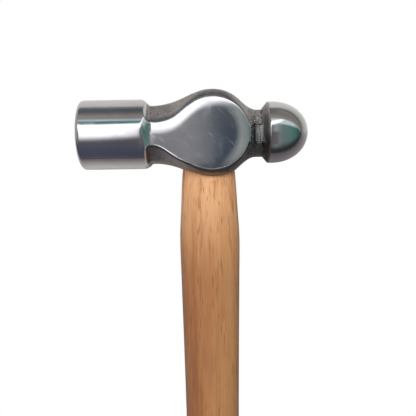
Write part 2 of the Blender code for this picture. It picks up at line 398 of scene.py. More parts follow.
# The forging: a round boss that runs out into a neck on each side. An outline leaves the round
# at two places, and comes to rest at a neck's (place, half height).
BOSS_X = 1.6 * MM
BOSS_LEAVES = (-3.0 * MM, 12.2 * MM)
BOSS_SPREAD = 11.5 * MM
BOSS_DROP = 0.6 * MM
POLL_NECK = (-21.5 * MM, 11.0 * MM)
BALL_NECK = (19.0 * MM, 8.8 * MM)
NARROW_FLAT_AT_NECK = 5.2 * MM
NARROW_FLAT_SWELL = 4.4 * MM

# The cheek: a ground disc, with a tongue that runs out along the poll's neck and up into the poll
CHEEK_X = 1.3 * MM
CHEEK_Y = -1.5 * MM
CHEEK_RADIUS = 14.5 * MM
CHEEK_LEAVES = (-6.0 * MM, 15.0 * MM)
CHEEK_ROLL = 5.4 * MM
TONGUE_END = (-21.0 * MM, 4.9 * MM)
TONGUE_SAG_X = -12.8 * MM
TONGUE_SAG = 1.1 * MM
TONGUE_RAMP_X = -22.2 * MM
RAMP_SLOPE = 0.5
RAMP_CURVE = 0.06 / MM
RAMP_HALF_WIDTH = 6 * MM

# Towards the ball the cheek falls away to a small flat on the ball's neck
CHEEK_FALL = (15.4 * MM, 18.8 * MM)
CHEEK_FALL_SLOPE = -0.10
NECK_FLAT_END = (17.0 * MM, 3.7 * MM)
NECK_FLAT_DEPTH = 9.6 * MM

# The turned ends
SHOULDER_X = -22.7 * MM
SHOULDER_CLIMB = 3.6 * MM
SHOULDER_SPREAD = 1.8
BARREL_END_X = -24.0 * MM
BARREL_RUNOUT = 2.0
BALL_CENTRE_X = 25.0 * MM
BALL_LIP_X = 23.5 * MM
BALL_LIP_SLOPE = 1.2
DOME_POWERS = (2.12, 2.06)

# The eye: half width and half depth at its waist, and what its mouths add to them
EYE_WAIST = (10.0 * MM, 6.9 * MM)
EYE_FLARE = (0.7 * MM, 0.8 * MM)
EYE_SQUARENESS = 2.2

# Surfaces are joined by a power of their reach: the higher it is, the sharper the edge
CRISP = 70
WORN = 36
MASK_EDGE = 160
TYPICAL_REACH = 13 * MM

HEAD_MASKS = ("polish", "neck_flat", "rim_line")
HEAD_POINTS = 336
# Runs of rings from the barrel to the ball's lip: first, last and how many
MIDDLE_RINGS = (
    (-28.5 * MM, -26.6 * MM, 6),
    (-26.4 * MM, -21.0 * MM, 46),
    (-20.6 * MM, 13.4 * MM, 76),
    (13.7 * MM, 20.6 * MM, 44),
    (20.7 * MM, 24.4 * MM, 38),
)


def flank(x, centre, radius, leaves, left_end, right_end):
    """Half height at x of a round boss that runs out into a neck on each side."""
    def tangent(place):
        height = math.sqrt(radius ** 2 - (place - centre) ** 2)
        return place, height, -(place - centre) / height
    round_part = np.sqrt(np.maximum(radius ** 2 - (x - centre) ** 2, 1e-12))
    left_part = hermite(x, (*left_end, 0.0), tangent(leaves[0]))
    right_part = hermite(x, tangent(leaves[1]), (*right_end, 0.0))
    return np.where(x < leaves[0], left_part, np.where(x > leaves[1], right_part, round_part))


def cheek_height(x):
    return flank(x, CHEEK_X, CHEEK_RADIUS, CHEEK_LEAVES, TONGUE_END, NECK_FLAT_END)


def cheek_middle(x):
    return CHEEK_Y - TONGUE_SAG * np.exp(-((x - TONGUE_SAG_X) / (5 * MM)) ** 2)


def boss_swell(x):
    """1 round the eye and 0 on the necks."""
    return np.exp(-((x - BOSS_X) / BOSS_SPREAD) ** 4)


def forged_sizes(x):
    """The forging at x: its half height, and the half depth of its narrow flat and the half
    height of its wide one, between which its corner is cut off."""
    height = flank(x, BOSS_X, BOSS_RADIUS, BOSS_LEAVES, POLL_NECK, BALL_NECK)
    side = NARROW_FLAT_AT_NECK + NARROW_FLAT_SWELL * boss_swell(x)
    climb = np.minimum(soft_ramp(SHOULDER_X - x, 0.25 * MM), SHOULDER_CLIMB)
    spread = SHOULDER_SPREAD * climb
    return height + climb, side + spread, cheek_height(x) + spread


def cheek_depth(x, y, size):
    """Half depth of the ground cheek, which runs up a hollow ramp into the poll."""
    level = hermite(x, (CHEEK_FALL[0], size.cheek_depth, CHEEK_FALL_SLOPE),
                    (CHEEK_FALL[1], NECK_FLAT_DEPTH, 0.0))
    climb = np.minimum(soft_ramp(TONGUE_RAMP_X - x, 0.05 * MM), 5 * MM)
    hollow = np.clip(1 - 0.55 * (y / RAMP_HALF_WIDTH) ** 2, 0.35, 1.0)
    return level + (RAMP_SLOPE * climb + RAMP_CURVE * climb ** 2) * hollow


def cheek_roll(x, y, size):
    """How far polishing has rolled the ground cheek off towards its rim."""
    height = cheek_height(x)
    nudge = 0.05 * MM
    slope = (cheek_height(x + nudge) - height) / nudge
    sideways = np.abs(y - cheek_middle(x))
    inside = np.where(x > CHEEK_X, CHEEK_RADIUS - np.hypot(x - CHEEK_X, sideways),
                      (height - sideways) / np.hypot(1.0, slope))
    off = np.clip(1 - inside / CHEEK_ROLL, 0.0, 1.2)
    # The tongue's lower rim stays almost sharp
    crisp_side = eased(cheek_middle(x) - y, -1.0 * MM, 2.0 * MM) * (1 - eased(x, -8 * MM, 2 * MM))
    off = off * (1 - 0.85 * crisp_side)
    neck = eased(x, CHEEK_X + CHEEK_RADIUS, CHEEK_X + CHEEK_RADIUS + 1.5 * MM)
    on_ramp = eased(TONGUE_RAMP_X - x, -0.8 * MM, 0.2 * MM)
    return size.cheek_crown * (off ** 2 * (1 - neck) + neck) * (1 - on_ramp)


def barrel_reach(x, size):
    """The barrel's radius, opened past the barrel's end so that it no longer trims the neck."""
    return size.poll_radius + BARREL_RUNOUT * soft_ramp(x - BARREL_END_X, 0.2 * MM)


def reach_terms(x, uy, uz, radius, size):
    """Inverse reach along (uy, uz) of the forging's flats and of the ground cheek."""
    height, side, corner_height = forged_sizes(x)
    y = radius * uy
    level = cheek_depth(x, y, size)
    ground = np.abs(uz) / (level - cheek_roll(x, y, size))
    rim = level - size.cheek_crown
    flats = []
    for up, drop in ((1, 0.0), (-1, BOSS_DROP)):
        edge = height + up * FORGING_Y + drop * boss_swell(x)
        corner = corner_height + up * cheek_middle(x)
        nz, ny = edge - corner, rim - side
        distance = (ny * corner + nz * rim) / np.hypot(ny, nz)
        flats.append(np.maximum(up * uy, 0.0) / edge)
        diagonal = (ny * up * uy + nz * np.abs(uz)) / np.hypot(ny, nz)
        flats.append(np.maximum(diagonal, 0.0) / distance)
    forged = sum(term ** WORN for term in flats) ** (1 / WORN)
    return forged, ground


def head_reach(x, turned, uy, uz, size):
    """Distance from the head's axis to its surface, for one ring."""
    radius = np.full_like(uy, size.poll_radius)
    barrel = 1 / barrel_reach(x, size)
    # A cheek's depth depends on how far out the point is, so the reach is refined in passes
    for _ in range(4):
        forged, ground = reach_terms(x, uy, uz, radius, size)
        inverse = (forged ** CRISP + ground ** CRISP + barrel ** CRISP) ** (1 / CRISP)
        radius = 1 / inverse
    return np.maximum(radius, turned)


def face_stations(size):
    """Rings of the striking face and the barrel, as (place, radius)."""
    inner = size.poll_radius - size.face_edge
    edge_x = FACE_X + size.face_crown + size.face_edge
    stations = [(FACE_X + size.face_crown * (r / inner) ** 2, r)
                for r in np.linspace(0.06, 0.97, 14) * inner]
    stations += [(edge_x - size.face_edge * math.cos(a), inner + size.face_edge * math.sin(a))
                 for a in np.linspace(0.0, math.pi / 2, 14)]
    barrel = np.linspace(edge_x + 0.5 * MM, MIDDLE_RINGS[0][0] - 0.5 * MM, 12)
    return stations + [(x, size.poll_radius) for x in barrel]


def ball_radius_at(x, size):
    """The ball's sloping back, its lip and its dome."""
    back = size.ball_radius - BALL_LIP_SLOPE * soft_ramp(BALL_LIP_X - x, 0.12 * MM)
    dome = np.clip((x - BALL_CENTRE_X) / (BALL_TIP_X - BALL_CENTRE_X), 0.0, 1.0)
    return back * (1 - dome ** DOME_POWERS[0]) ** (1 / DOME_POWERS[1])


def head_grid(size):
    """Rings along the head from the striking face to the ball."""
    angles = np.linspace(0, 2 * math.pi, HEAD_POINTS, endpoint=False)
    uy, uz = np.cos(angles), np.sin(angles)
    rings = [(x, np.full_like(uy, r)) for x, r in face_stations(size)]
    for x in np.concatenate([np.linspace(*run) for run in MIDDLE_RINGS]):
        turned = float(ball_radius_at(x, size)) if x > 0 else 0.0
        if x < BALL_LIP_X:
            rings.append((x, head_reach(x, turned, uy, uz, size)))
        else:
            rings.append((x, np.full_like(uy, turned)))
    reach = BALL_TIP_X - BALL_CENTRE_X
    for angle in np.linspace(0.02, 0.99, 44) * math.pi / 2:
        x = BALL_CENTRE_X + reach * math.sin(angle)
        rings.append((x, np.full_like(uy, float(ball_radius_at(x, size)))))
    return rings, uy, uz


def head_verts(size):
    rings, uy, uz = head_grid(size)
    verts = []
    for x, radius in rings:
        verts += [(x, r * a, r * b) for r, a, b in zip(radius, uy, uz)]
    return verts, len(rings)


def eye_half_sizes(y):
    flare = ((y - FORGING_Y) / BOSS_RADIUS) ** 2
    return [waist + extra * flare for waist, extra in zip(EYE_WAIST, EYE_FLARE)]


def oval(half_x, half_z, squareness, points):
    angles = np.linspace(0, 2 * math.pi, points, endpoint=False)
    c, s = np.cos(angles), np.sin(angles)
    power = 2 / squareness
    return (np.sign(c) * np.abs(c) ** power * half_x, np.sign(s) * np.abs(s) ** power * half_z)


def oval_tube(name, places, sizes, points=120):
    """A closed solid along Y through ovals; sizes(y) gives half x, half z and squareness."""
    verts = []
    for y in places:
        xs, zs = oval(*sizes(y), points)
        verts += [(a, y, b) for a, b in zip(xs, zs)]
    faces = ring_faces(len(places), points)
    faces.append(tuple(range(points)))
    last = (len(places) - 1) * points
    faces.append(tuple(range(last + points - 1, last - 1, -1)))
    return mesh_object(name, verts, faces)


def finish_weights(coords, size):
    """For each point of the head: how polished it is, how much it is the neck's flat, and how
    deep it lies in the dark line that follows the cheek's rim."""
    x, y, z = coords.T
    radius = np.maximum(np.hypot(y, z), 1e-6)
    uy, uz = y / radius, z / radius
    forged, ground = reach_terms(x, uy, uz, radius, size)
    # The skin laps a little onto the cheek, more along its lower side
    forged = forged * (1.035 - 0.02 * eased(y, -6 * MM, 2 * MM))
    barrel = 1 / barrel_reach(x, size)
    # Multiplied by a typical reach, the terms are near 1 and can take a high power
    terms = [(term * TYPICAL_REACH) ** MASK_EDGE for term in (forged, ground, barrel)]
    total = sum(terms)
    flat = terms[1] / total
    disc = 1 - eased(x, CHEEK_X + CHEEK_RADIUS, CHEEK_X + CHEEK_RADIUS + 0.4 * MM)
    polish = np.maximum(flat * disc, terms[2] / total)
    # The poll and the ball are polished all over
    polish = np.where(x < SHOULDER_X - 0.8 * MM, 1.0, polish)
    polish = np.where(x > BALL_LIP_X + 0.2 * MM, 1.0, polish)
    # The neck's flat lies between the cheek and the ball's back
    neck_flat = flat * eased(x, 17.2 * MM, 17.7 * MM) * (x < BALL_LIP_X - 1.9 * MM)
    rim_line = eased(ground / forged, 0.86, 0.98) * (1 - polish) * (x < CHEEK_X + CHEEK_RADIUS)
    return polish, neck_flat, rim_line


def store_points(mesh, name, values):
    layer = mesh.attributes.new(name, "FLOAT", "POINT")
    layer.data.foreach_set("value", np.asarray(values, dtype=np.float32))


def point_coords(mesh):
    coords = np.empty(len(mesh.vertices) * 3, dtype=np.float32)
    mesh.vertices.foreach_get("co", coords)
    return coords.reshape(-1, 3).astype(float)


def build_head(size):
    verts, ring_count = head_verts(size)
    points = HEAD_POINTS
    faces = ring_faces(ring_count, points)
    face_centre, tip = len(verts), len(verts) + 1
    verts += [(FACE_X, 0.0, 0.0), (BALL_TIP_X, 0.0, 0.0)]
    last = (ring_count - 1) * points
    for i in range(points):
        j = (i + 1) % points
        faces.append((j, i, face_centre))
        faces.append((last + i, last + j, tip))
    head = mesh_object("hammer_head", verts, faces)
    reach = BOSS_RADIUS + 6 * MM
    eye = oval_tube("eye_drift", np.linspace(-reach, reach, 25),
                    lambda y: (*eye_half_sizes(y), EYE_SQUARENESS))
    cut(head, [eye])
    mesh = head.data
    mesh.shade_smooth()
    mesh.set_sharp_from_angle(angle=math.radians(38))
    weights = finish_weights(point_coords(mesh), size)
    for name, values in zip(HEAD_MASKS, weights):
        store_points(mesh, name, values)
    return head


# Reflection colours of the forged skin; three of them are painted light: a painted highlight for
# glints, and painted shade on the lower side and on the ball's back
SKIN_PATCHES = (0.34, 0.32, 0.32)
SKIN_PITS = (0.13, 0.12, 0.12)
# Painted highlight: bright specks that stand in for glints
SKIN_PAINTED_GLINTS = (0.85, 0.83, 0.82)
SKIN_NECK_FLAT = (0.26, 0.24, 0.235)
# Painted shade: the forged skin darkened on the handle's side of the head's middle
SKIN_PAINTED_LOWER_SHADE = (0.095, 0.09, 0.095)
# Painted shade on the ball's sloping back
SKIN_PAINTED_BALL_BACK_SHADE = (0.09, 0.09, 0.10)
SKIN_RIM_LINE = (0.10, 0.095, 0.10)


def head_material(size):
    """Polished steel on the turned and ground faces, dark forged skin between them."""
    material, paint = new_material("head_steel")
    place, right, up = places_from_eye(paint)
    polish, neck_flat, rim_line = [
        paint.node("ShaderNodeAttribute", {"attribute_name": name}, output="Fac")
        for name in HEAD_MASKS]
    # Painted shade: the forged skin is darkened on the handle's side of the head's middle
    painted_lower_shade = 1 - up.step(-6 * MM, 1 * MM)
    ball_neck = right.band(15.5 * MM, 21.0 * MM, 1 * MM)
    # Painted shade: a dark band on the ball's sloping back, where it lies in shade
    painted_ball_back_shade = right.band(21.0 * MM, 22.9 * MM, 0.5 * MM)
    polished = polish.step(0.35, 0.65)

    cloud = paint.noise(place, 60.0, 4.0, 0.6)
    smear = paint.grain(place, (210.0, 52.5, 210.0), 3.0, 0.55)
    turned_marks = paint.grain(place, (9000.0, 160.0, 160.0), 2.0, 0.6)
    brush_marks = paint.grain(place, (700.0, 7000.0, 700.0), 2.0, 0.5)
    fine_grit = paint.noise(place, 5200.0, 2.0, 0.6)
    slanted = paint.node("ShaderNodeVectorRotate", {"rotation_type": "Z_AXIS"}, Vector=place,
                         Angle=0.7)
    scratches = paint.grain(slanted, (150.0, 3800.0, 150.0), 1.0, 0.5).step(0.67, 0.75)
    forge_grain = paint.noise(place, 900.0, 6.0, 0.7)
    forge_patches = paint.noise(place, 170.0, 4.0, 0.6)

    bright = paint.mix(cloud.step(0.30, 0.75), size.polished_color,
                       tuple(0.86 * c for c in size.polished_color))
    # Painted highlight: scattered bright specks in the skin's colour stand in for glints
    painted_glints = paint.noise(place, 1700.0, 2.0, 0.5).step(0.60, 0.68)
    skin = size.forged_color
    for amount, tint in (
            (forge_patches.step(0.35, 0.70), SKIN_PATCHES),
            (forge_grain.step(0.46, 0.70) * 0.6, SKIN_PITS),
            (painted_glints * 0.5, SKIN_PAINTED_GLINTS),
            (neck_flat * 0.75, SKIN_NECK_FLAT),
            (painted_lower_shade * 0.55, SKIN_PAINTED_LOWER_SHADE),
            (painted_ball_back_shade * 0.6, SKIN_PAINTED_BALL_BACK_SHADE),
            (rim_line * 0.55, SKIN_RIM_LINE)):
        skin = paint.mix(amount, skin, tint)
    color = paint.mix(polished, skin, bright)

    polished_rough = 0.07 + 0.08 * smear.step(0.42, 0.80) + 0.04 * cloud.step(0.45, 0.8)
    polished_rough = polished_rough + 0.15 * scratches
    forged_rough = 0.32 + 0.20 * forge_grain - 0.14 * ball_neck
    rough = polished_rough * polished + forged_rough * (1 - polished)

    marks = turned_marks * 0.35 + brush_marks * 0.35 + fine_grit * 0.3
    polished_height = marks * (0.0025 * MM)
    hammered = paint.noise(place, 750.0, 2.0, 0.5) * ball_neck * (1 - neck_flat)
    forged_height = (forge_grain * (0.16 * MM) + forge_patches * (0.22 * MM)
                     + hammered * (1.4 * MM))
    grooves = paint.grain(place, (1700.0, 120.0, 120.0), 2.0, 0.5)
    neck_height = grooves * (0.3 * MM) * neck_flat
    height = polished_height * polished + (forged_height + neck_height) * (1 - polished)
    shader = paint.node("ShaderNodeBsdfPrincipled", Metallic=1.0, Roughness=rough,
                        Normal=paint.relief(height), **{"Base Color": color})
    finish_material(paint, shader)
    return material


# ---------------------------------------------------------------- the handle's shape

TONGUE_FOOT_Y = -15.0 * MM
KERF_BOTTOM_Y = -9.0 * MM
STEEL_WEDGE_TIP_Y = BOSS_TOP - 12.0 * MM

# A wedge's thickness at the top of the boss and at its tip
WOOD_WEDGE_THICKNESS = (3.4 * MM, 1.2 * MM)
STEEL_WEDGE_THICKNESS = (2.4 * MM, 0.8 * MM)
STEEL_WEDGE_HALF_WIDTH = 4.8 * MM
STEEL_WEDGES = ("steel_wedge_1", "steel_wedge_2")

# Distance along Y, half width in X, half depth in Z, squareness of the oval
HANDLE_STATIONS = (
    (TONGUE_FOOT_Y, 10.4 * MM, 7.2 * MM, 2.0),
    (-21.0 * MM, 10.8 * MM, 8.1 * MM, 2.0),
    (-30.0 * MM, 11.25 * MM, 9.1 * MM, 2.0),
    (-41.0 * MM, 11.8 * MM, 9.6 * MM, 2.0),
    (-58.0 * MM, 11.5 * MM, 9.4 * MM, 2.1),
    (-85.0 * MM, 10.9 * MM, 8.8 * MM, 2.1),
    (-120.0 * MM, 10.3 * MM, 8.5 * MM, 2.1),
    (-150.0 * MM, 10.4 * MM, 8.7 * MM, 2.2),
    (-190.0 * MM, 11.7 * MM, 9.7 * MM, 2.3),
    (-235.0 * MM, 13.0 * MM, 10.8 * MM, 2.3),
    (-270.0 * MM, 13.2 * MM, 11.1 * MM, 2.3),
    (BUTT_Y, 12.7 * MM, 10.7 * MM, 2.3),
)


def handle_sizes(y):
    """Handle half width, half depth and squareness at y, eased between the stations."""
    if y > TONGUE_FOOT_Y:
        half_x, half_z = eye_half_sizes(y)
        return half_x - GAP, half_z - GAP, EYE_SQUARENESS
    stations = HANDLE_STATIONS
    k = next((i for i in range(len(stations) - 1) if y >= stations[i + 1][0]),
             len(stations) - 2)
    before, start = stations[max(k - 1, 0)], stations[k]
    end, after = stations[k + 1], stations[min(k + 2, len(stations) - 1)]
    values = []
    for column in (1, 2, 3):
        slope0 = (end[column] - before[column]) / (end[0] - before[0])
        slope1 = (after[column] - start[column]) / (after[0] - start[0])
        values.append(float(hermite(y, (start[0], start[column], slope0),
                                    (end[0], end[column], slope1))))
    return values


def end_trim(name, inset):
    """Takes off what stands above the boss, to leave an end that follows its curve."""
    reach = 2 * BOSS_RADIUS
    radius = BOSS_RADIUS - inset
    above = Matrix.Translation((BOSS_X, FORGING_Y + reach / 2, 0.0))
    bm = bmesh.new()
    bmesh.ops.create_cube(bm, size=1.0,
                          matrix=above @ Matrix.Diagonal((2 * reach, reach, reach, 1.0)))
    block = bmesh_object(name, bm)
    bm = bmesh.new()
    bmesh.ops.create_cone(bm, cap_ends=True, segments=360, radius1=radius, radius2=radius,
                          depth=2 * reach, matrix=Matrix.Translation((BOSS_X, FORGING_Y, 0.0)))
    cut(block, [bmesh_object(f"{name}_core", bm)])
    return block


def wedge_solid(name, half_sizes, top, tip, x=0.0):
    """A driven wedge. half_sizes(y) gives its half length in X and half depth in Z."""
    verts = []
    places = np.linspace(top, tip, 9)
    for y in places:
        half_x, half_z = half_sizes(y)
        verts += [(x + half_x, y, half_z), (x - half_x, y, half_z),
                  (x - half_x, y, -half_z), (x + half_x, y, -half_z)]
    faces = ring_faces(len(places), 4)
    faces += [(0, 1, 2, 3), tuple(len(verts) - 1 - i for i in range(4))]
    return mesh_object(name, verts, faces, math.radians(30))


def half_taper(y, thickness, tip):
    wide, narrow = thickness
    return (narrow + (wide - narrow) * (y - tip) / (BOSS_TOP - tip)) / 2


def wood_wedge_sizes(y, clearance=0.0):
    half_thickness = half_taper(y, WOOD_WEDGE_THICKNESS, KERF_BOTTOM_Y)
    return eye_half_sizes(y)[0] - 2 * GAP, half_thickness + clearance


def steel_wedge_sizes(y, clearance=0.0):
    half_thickness = half_taper(y, STEEL_WEDGE_THICKNESS, STEEL_WEDGE_TIP_Y)
    return half_thickness + clearance, STEEL_WEDGE_HALF_WIDTH + clearance


def steel_wedge_x(node):
    low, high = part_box(node)
    return (low.x + high.x) / 2 - EYE_CENTRE.x


def wedge_slots():
    top = BOSS_TOP + 3 * MM
    return [wedge_solid(f"slot_for_{node}", lambda y: steel_wedge_sizes(y, GAP),
                        top, STEEL_WEDGE_TIP_Y - GAP, steel_wedge_x(node))
            for node in STEEL_WEDGES]


def build_handle(settings):
    rounding = settings.butt_rounding
    grip_end = BUTT_Y + rounding
    tongue = list(np.linspace(BOSS_TOP + 2 * MM, TONGUE_FOOT_Y + 0.4 * MM, 24))
    shaft = list(np.linspace(TONGUE_FOOT_Y - 0.6 * MM, grip_end, 190))
    angles = np.linspace(0, math.pi / 2, 10)[1:]
    butt = [grip_end - rounding * math.sin(a) for a in angles]

    def sizes(y):
        if y >= grip_end:
            return handle_sizes(y)
        half_x, half_z, squareness = handle_sizes(BUTT_Y)
        drop = min((grip_end - y) / rounding, 1.0)
        inset = rounding * (1 - math.sqrt(max(1 - drop * drop, 0.0)))
        return half_x - inset, half_z - inset, squareness

    handle = oval_tube("wooden_handle", tongue + shaft + butt, sizes, points=144)
    # The kerf runs right across the tongue, so its cutter is longer than the eye
    kerf = wedge_solid("kerf", lambda y: (20 * MM, wood_wedge_sizes(y, GAP)[1]),
                       BOSS_TOP + 4 * MM, KERF_BOTTOM_Y - GAP)
    cut(handle, [kerf, end_trim("handle_trim", END_INSET), *wedge_slots()])
    handle.data.shade_smooth()
    handle.data.set_sharp_from_angle(angle=math.radians(35))
    return handle


# End grain of the wooden wedge
WEDGE_END_COLOR = (0.40, 0.24, 0.128)


def wood_material(name, settings, end_color, coat):
    """Open-grained wood, its grain along Y, with end grain where the surface faces along Y."""
    material, paint = new_material(name)
    place, right, up = places_from_eye(paint)
    normal = paint.node("ShaderNodeTexCoord", output="Normal")
    end_grain = abs(paint.parts(normal)[1]).step(0.80, 0.93)
    side_grain = 1 - end_grain
    # Wood by the head: partly its own paler colour, partly painted light
    paler_and_lit_by_head = up.step(-62 * MM, -16 * MM)
    # Paler and yellower right of the middle; darker and redder left of it from the grip down
    sapwood = right.step(-6 * MM, 8 * MM)
    grip_side = 1 - up.step(-100 * MM, -62 * MM)
    heartwood = (1 - right.step(-11 * MM, -4 * MM)) * grip_side

    broad = paint.grain(place, (150.0, 11.0, 90.0), 3.0, 0.55, 0.6)
    streaks = paint.grain(place, (700.0, 34.0, 700.0), 4.0, 0.62)
    fibre = paint.grain(place, (3200.0, 90.0, 3200.0), 3.0, 0.6)
    pore_noise = paint.grain(place, (1500.0, 130.0, 1500.0), 1.0, 0.5)
    flecks = paint.grain(place, (620.0, 75.0, 620.0), 2.0, 0.5).step(0.55, 0.72)
    rings = paint.grain(place, (420.0, 9.0, 420.0), 1.0, 0.4, 1.4)
    mottle = paint.grain(place, (110.0, 38.0, 110.0), 2.0, 0.5).step(0.35, 0.65)
    pores = pore_noise.step(0.60, 0.70) * rings.step(0.36, 0.58)
    end_pores = paint.noise(place, 2800.0, 1.0, 0.5).step(0.56, 0.66)

    tone = (broad * 0.45 + streaks * 0.40 + fibre * 0.15).step(0.38, 0.62)
    # The lighter wood by the head, partly paler wood and partly painted light
    paler_and_lit_wood = paint.mix(tone, settings.fresh_dark, settings.fresh_light)
    end_wood = paint.mix(end_pores * 0.7, end_color, settings.pore_color)
    wood = paint.mix(tone, settings.wood_dark, settings.wood_light)
    for amount, tint in (
            (sapwood * 0.5, settings.sapwood),
            (heartwood * 0.6, settings.heartwood),
            (paler_and_lit_by_head, paler_and_lit_wood),
            (mottle * 0.14, settings.heartwood),
            (flecks * side_grain * 0.6, settings.fleck_color),
            (pores * side_grain * 0.6, settings.pore_color),
            (end_grain, end_wood)):
        wood = paint.mix(amount, wood, tint)

    rough = 0.40 + 0.14 * streaks + 0.22 * end_grain
    height = (fibre * (0.02 * MM) - pores * (0.07 * MM)
              - end_pores * end_grain * (0.06 * MM))
    shader = paint.node("ShaderNodeBsdfPrincipled", Roughness=rough, Normal=paint.relief(height),
                        **{"Base Color": wood, "Specular IOR Level": 0.3,
                           "Coat Weight": coat, "Coat Roughness": 0.3})
    finish_material(paint, shader)
    return material


def steel_wedge_material():
    """Dark rolled steel with a fine scale."""
    material, paint = new_material("wedge_steel")
    place = paint.node("ShaderNodeTexCoord", output="Object")
    grain = paint.noise(place, 1500.0, 4.0, 0.6)
    patches = paint.noise(place, 300.0, 3.0, 0.6)
    color = paint.mix(patches.step(0.35, 0.7), (0.33, 0.32, 0.31), (0.16, 0.14, 0.13))
    shader = paint.node("ShaderNodeBsdfPrincipled", Metallic=1.0, Roughness=0.30 + 0.25 * grain,
                        Normal=paint.relief(grain * (0.06 * MM)), **{"Base Color": color})
    finish_material(paint, shader)
    return material


# ---------------------------------------------------------------- stage

# The light on the left of the room and past the head, by its angle in degrees about the head's
# axis: straight up is 0, towards the butt is negative and past the head is positive.
LEFT_LIGHT = (
    (-100, (0.13, 0.11, 0.13)),
    (-90, (0.15, 0.12, 0.15)),
    (-76, (0.10, 0.10, 0.15)),
    (-60, (0.10, 0.11, 0.155)),
    (-40, (0.13, 0.13, 0.17)),
    (-24, (0.15, 0.15, 0.17)),
    (0, (0.18, 0.18, 0.20)),
    (12, (0.20, 0.20, 0.22)),
    (28, (0.40, 0.52, 0.56)),
    (32, (0.12, 0.22, 0.26)),
    (36, (0.20, 0.32, 0.34)),
    (40, (0.68, 0.92, 0.92)),
    (44, (0.50, 0.60, 0.60)),
    (47, (0.38, 0.35, 0.34)),
    (56, (0.41, 0.33, 0.32)),
    (64, (0.25, 0.24, 0.22)),
    (72, (0.14, 0.16, 0.17)),
    (83, (0.12, 0.145, 0.175)),
    (90, (0.30, 0.30, 0.29)),
)

# The light on the right of the room, by its angle in degrees from straight up towards the right
RIGHT_LIGHT = (
    (-8, (0.18, 0.19, 0.22)),
    (-4, (0.31, 0.31, 0.33)),
    (-2, (0.37, 0.37, 0.385)),
    (0, (0.24, 0.25, 0.275)),
    (2, (0.05, 0.072, 0.11)),
    (4, (0.10, 0.125, 0.16)),
    (6, (0.24, 0.27, 0.28)),
    (10, (0.44, 0.47, 0.47)),
    (16, (0.33, 0.38, 0.37)),
    (26, (0.20, 0.29, 0.28)),
    (45, (0.16, 0.29, 0.27)),
    (60, (0.11, 0.25, 0.22)),
    (80, (0.055, 0.15, 0.13)),
)

# The rest of the room
LOW_LIGHT = (0.045, 0.05, 0.055)
FAR_LEFT_LIGHT = (0.52, 0.48, 0.45)
DIM_PATCH_LIGHT = (0.135, 0.108, 0.12)
FAR_WALL_LIGHT = (0.29, 0.28, 0.26)
SHELF_LIGHT = (0.82, 0.93, 0.93)
BOX_LIGHT = (2.2, 2.2, 2.25)
WHITE = (1.0, 1.0, 1.0)

LAMP_COLOR = (1.0, 0.99, 0.96)

# Places from the eye's centre: the point the camera looks down on, and the two lamps
CAMERA_OVER = (-0.53 * MM, -29.73 * MM)
BUTT = Vector((0.0, BUTT_Y, 0.0))
HEAD_LAMP_PLACE = Vector((0.03, 0.10, 0.38))
GRIP_LAMP_PLACE = BUTT + Vector((-0.08, -0.12, 0.12))


def ramp(paint, angle, stops):
    places = [((degrees + 180) / 360, color) for degrees, color in stops]
    return paint.node("ShaderNodeValToRGB", {"stops": places}, Fac=(angle + 180) / 360)


def world_light():
    """A soft box overhead to the left, dim walls and a green screen; white behind the hammer.

    lift is the angle about the head's axis and right the angle towards the ball, in degrees.
    """
    world = bpy.data.worlds.new("studio")
    world.use_nodes = True
    bpy.context.scene.world = world
    paint = Paint(world.node_tree)
    x, y, z = paint.parts(paint.node("ShaderNodeTexCoord", output="Generated"))
    lift = y.math("ARCTAN2", z) * math.degrees(1.0)
    right = x.math("ARCSINE") * math.degrees(1.0)

    # The soft box: its lower edge drops and softens towards the left, over the poll
    left_of_edge = (-6.7 - right).math("MAXIMUM", 0.0)
    over_poll = left_of_edge.step(0.0, 0.6)
    edge = 16.5 + 0.8 * right - 20 * over_poll - left_of_edge
    softness = 5.5 + 8 * over_poll + 1.8 * left_of_edge
    box = ((lift - edge) / softness).step(-1, 1) * lift.step(-34, -10)
    box = box * (right + 0.5 * lift.math("MAXIMUM", 0.0)).step(-17.5, -14.5)
    top = lift - 0.5 * right - 8 * (1 - right.step(-17, -13))
    box = box * (1 - top.step(29, 34)) * (1 - right.step(18, 32))

    far_left = (1 - right.step(-36, -22)) * lift.step(-50, -10)
    dim_patch = right.band(-3, 17, 7) * lift.band(-55, -5, 7)
    far_wall = right.step(-4, 22) * lift.step(50, 72)
    shelf = right.step(-4, 8) * (1 - right.step(50, 75)) * lift.band(24, 43, 4)
    to_right = right.step(-7, -4) * (1 - lift.step(22, 32))
    right_light = paint.mix(lift.step(-80, -42), LOW_LIGHT, ramp(paint, right, RIGHT_LIGHT))
    camera_ray = paint.node("ShaderNodeLightPath", output="Is Camera Ray")

    light = ramp(paint, lift, LEFT_LIGHT)
    for amount, tint in (
            (to_right, right_light),
            (far_left, FAR_LEFT_LIGHT),
            (dim_patch * 0.8, DIM_PATCH_LIGHT),
            (far_wall, FAR_WALL_LIGHT),
            (shelf, SHELF_LIGHT),
            (box, BOX_LIGHT),
            (camera_ray, WHITE)):
        light = paint.mix(amount, light, tint)
    background = paint.node("ShaderNodeBackground", Color=light, Strength=1.0)
    paint.node("ShaderNodeOutputWorld", output=None, Surface=background)


